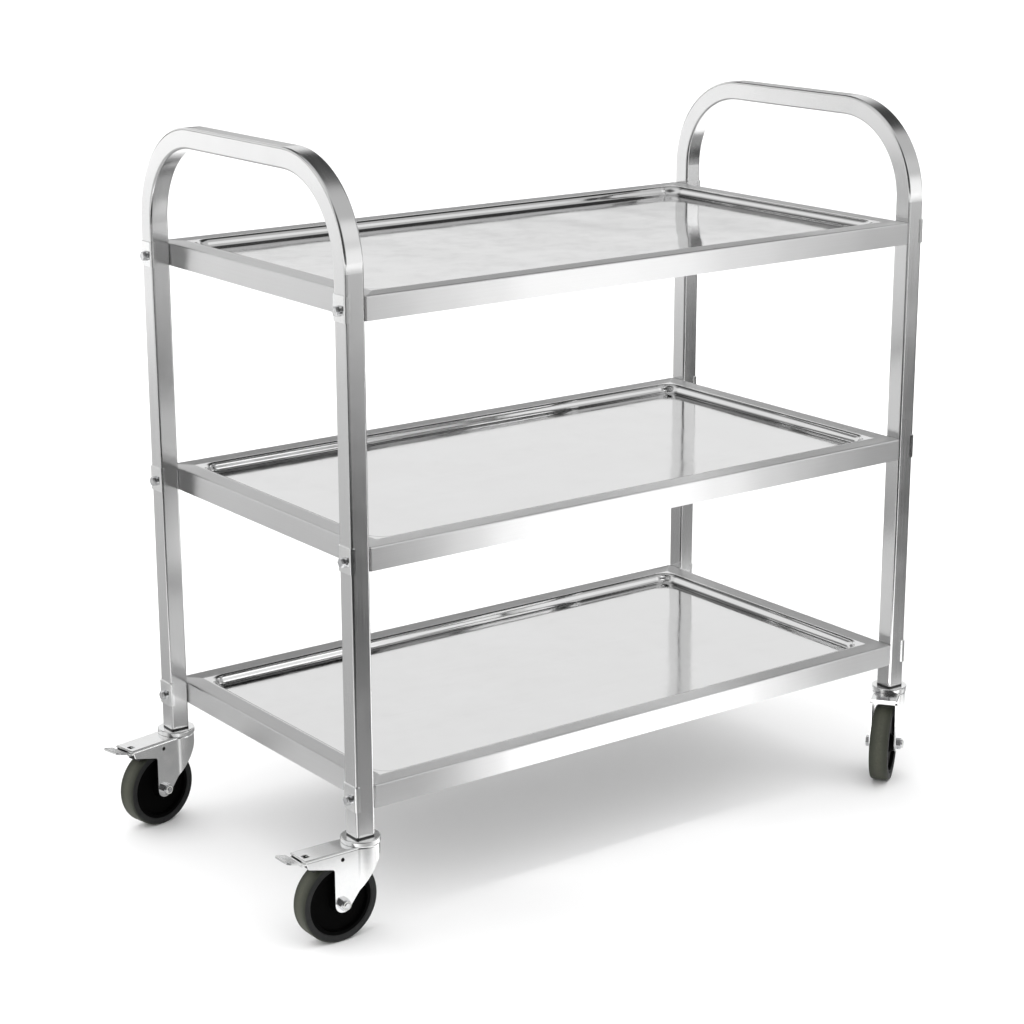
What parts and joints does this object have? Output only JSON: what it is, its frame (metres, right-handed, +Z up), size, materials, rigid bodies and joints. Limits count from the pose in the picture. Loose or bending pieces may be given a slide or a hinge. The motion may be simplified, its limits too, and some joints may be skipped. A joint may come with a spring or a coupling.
{
  "type": "food service trolley",
  "caption": "Stainless-steel serving trolley: recessed trays folded from sheet between looped square-tube end frames, on swivel casters, those at one end with pedal brakes.",
  "frame": {"origin": "on the floor under the middle of the trolley's bounding box at rest; the pedals stand out at -X, so the middle of the shelves is 42.25 mm towards +X", "axes": "+Z up, +X along the shelves away from the braked casters, +Y across the trolley"},
  "size_m": [0.9818, 0.557, 0.9],
  "materials": {
    "frame_steel": "polished square stainless tube",
    "shelf_steel": "polished folded stainless sheet",
    "zinc_steel": "bright zinc plate",
    "bolt_steel": "plain bright steel",
    "bearing_steel": "polished",
    "plug_plastic": "black nylon",
    "hub_plastic": "moulded black",
    "tyre_rubber": "dark grey soft tread",
    "shoe_rubber": "moulded"
  },
  "bodies": {
    "root": {"left_end_frame": "frame_steel", "right_end_frame": "frame_steel", "bottom_shelf": "shelf_steel", "bottom_shelf_rib": "shelf_steel", "bottom_leg_clips": "zinc_steel", "bottom_clamp_bolts": "bolt_steel", "bottom_bolt_washers": "bolt_steel", "bottom_weld_nuts": "bolt_steel", "middle_shelf": "shelf_steel", "middle_shelf_rib": "shelf_steel", "middle_leg_clips": "zinc_steel", "middle_clamp_bolts": "bolt_steel", "middle_bolt_washers": "bolt_steel", "middle_weld_nuts": "bolt_steel", "top_shelf": "shelf_steel", "top_shelf_rib": "shelf_steel", "top_leg_clips": "zinc_steel", "top_clamp_bolts": "bolt_steel", "top_bolt_washers": "bolt_steel", "top_weld_nuts": "bolt_steel", "leg_plugs": "plug_plastic", "caster_stems": "bolt_steel", "caster_top_races": "zinc_steel"},
    "front_left_caster": {"front_left_fork": "zinc_steel", "front_left_race_balls": "bearing_steel", "front_left_axle_bolt": "bolt_steel", "front_left_axle_nut": "bolt_steel", "front_left_axle_sleeve": "bolt_steel", "front_left_brake_pin": "bolt_steel"},
    "front_left_wheel": {"front_left_wheel_hub": "hub_plastic", "front_left_tyre": "tyre_rubber"},
    "front_left_brake": {"front_left_brake_lever": "zinc_steel", "front_left_brake_shoe": "shoe_rubber"},
    "back_left_caster": {"back_left_fork": "zinc_steel", "back_left_race_balls": "bearing_steel", "back_left_axle_bolt": "bolt_steel", "back_left_axle_nut": "bolt_steel", "back_left_axle_sleeve": "bolt_steel", "back_left_brake_pin": "bolt_steel"},
    "back_left_wheel": {"back_left_wheel_hub": "hub_plastic", "back_left_tyre": "tyre_rubber"},
    "back_left_brake": {"back_left_brake_lever": "zinc_steel", "back_left_brake_shoe": "shoe_rubber"},
    "front_right_caster": {"front_right_fork": "zinc_steel", "front_right_race_balls": "bearing_steel", "front_right_axle_bolt": "bolt_steel", "front_right_axle_nut": "bolt_steel", "front_right_axle_sleeve": "bolt_steel"},
    "front_right_wheel": {"front_right_wheel_hub": "hub_plastic", "front_right_tyre": "tyre_rubber"},
    "back_right_caster": {"back_right_fork": "zinc_steel", "back_right_race_balls": "bearing_steel", "back_right_axle_bolt": "bolt_steel", "back_right_axle_nut": "bolt_steel", "back_right_axle_sleeve": "bolt_steel"},
    "back_right_wheel": {"back_right_wheel_hub": "hub_plastic", "back_right_tyre": "tyre_rubber"}
  },
  "joints": [
    {"name": "front_left_swivel", "type": "hinge", "parent": "root", "child": "front_left_caster", "pos_m": [-0.38275, -0.218, 0.122], "axis": [0, 0, 1], "continuous": true},
    {"name": "front_left_wheel_spin", "type": "hinge", "parent": "front_left_caster", "child": "front_left_wheel", "pos_m": [-0.41875, -0.218, 0.05], "axis": [0, 1, 0], "continuous": true},
    {"name": "front_left_brake_press", "type": "hinge", "parent": "front_left_caster", "child": "front_left_brake", "pos_m": [-0.41875, -0.218, 0.1043], "axis": [0, -1, 0], "range_deg": [0, 10]},
    {"name": "back_left_swivel", "type": "hinge", "parent": "root", "child": "back_left_caster", "pos_m": [-0.38275, 0.218, 0.122], "axis": [0, 0, 1], "continuous": true},
    {"name": "back_left_wheel_spin", "type": "hinge", "parent": "back_left_caster", "child": "back_left_wheel", "pos_m": [-0.41809, 0.21113, 0.05], "axis": [-0.1908, 0.9816, 0], "continuous": true},
    {"name": "back_left_brake_press", "type": "hinge", "parent": "back_left_caster", "child": "back_left_brake", "pos_m": [-0.41809, 0.21113, 0.1043], "axis": [0.1908, -0.9816, 0], "range_deg": [0, 10]},
    {"name": "front_right_swivel", "type": "hinge", "parent": "root", "child": "front_right_caster", "pos_m": [0.46725, -0.218, 0.122], "axis": [0, 0, 1], "continuous": true},
    {"name": "front_right_wheel_spin", "type": "hinge", "parent": "front_right_caster", "child": "front_right_wheel", "pos_m": [0.4385, -0.23966, 0.05], "axis": [-0.6018, 0.7986, 0], "continuous": true},
    {"name": "back_right_swivel", "type": "hinge", "parent": "root", "child": "back_right_caster", "pos_m": [0.46725, 0.218, 0.122], "axis": [0, 0, 1], "continuous": true},
    {"name": "back_right_wheel_spin", "type": "hinge", "parent": "back_right_caster", "child": "back_right_wheel", "pos_m": [0.4385, 0.23966, 0.05], "axis": [0.6018, 0.7986, 0], "continuous": true}
  ]
}
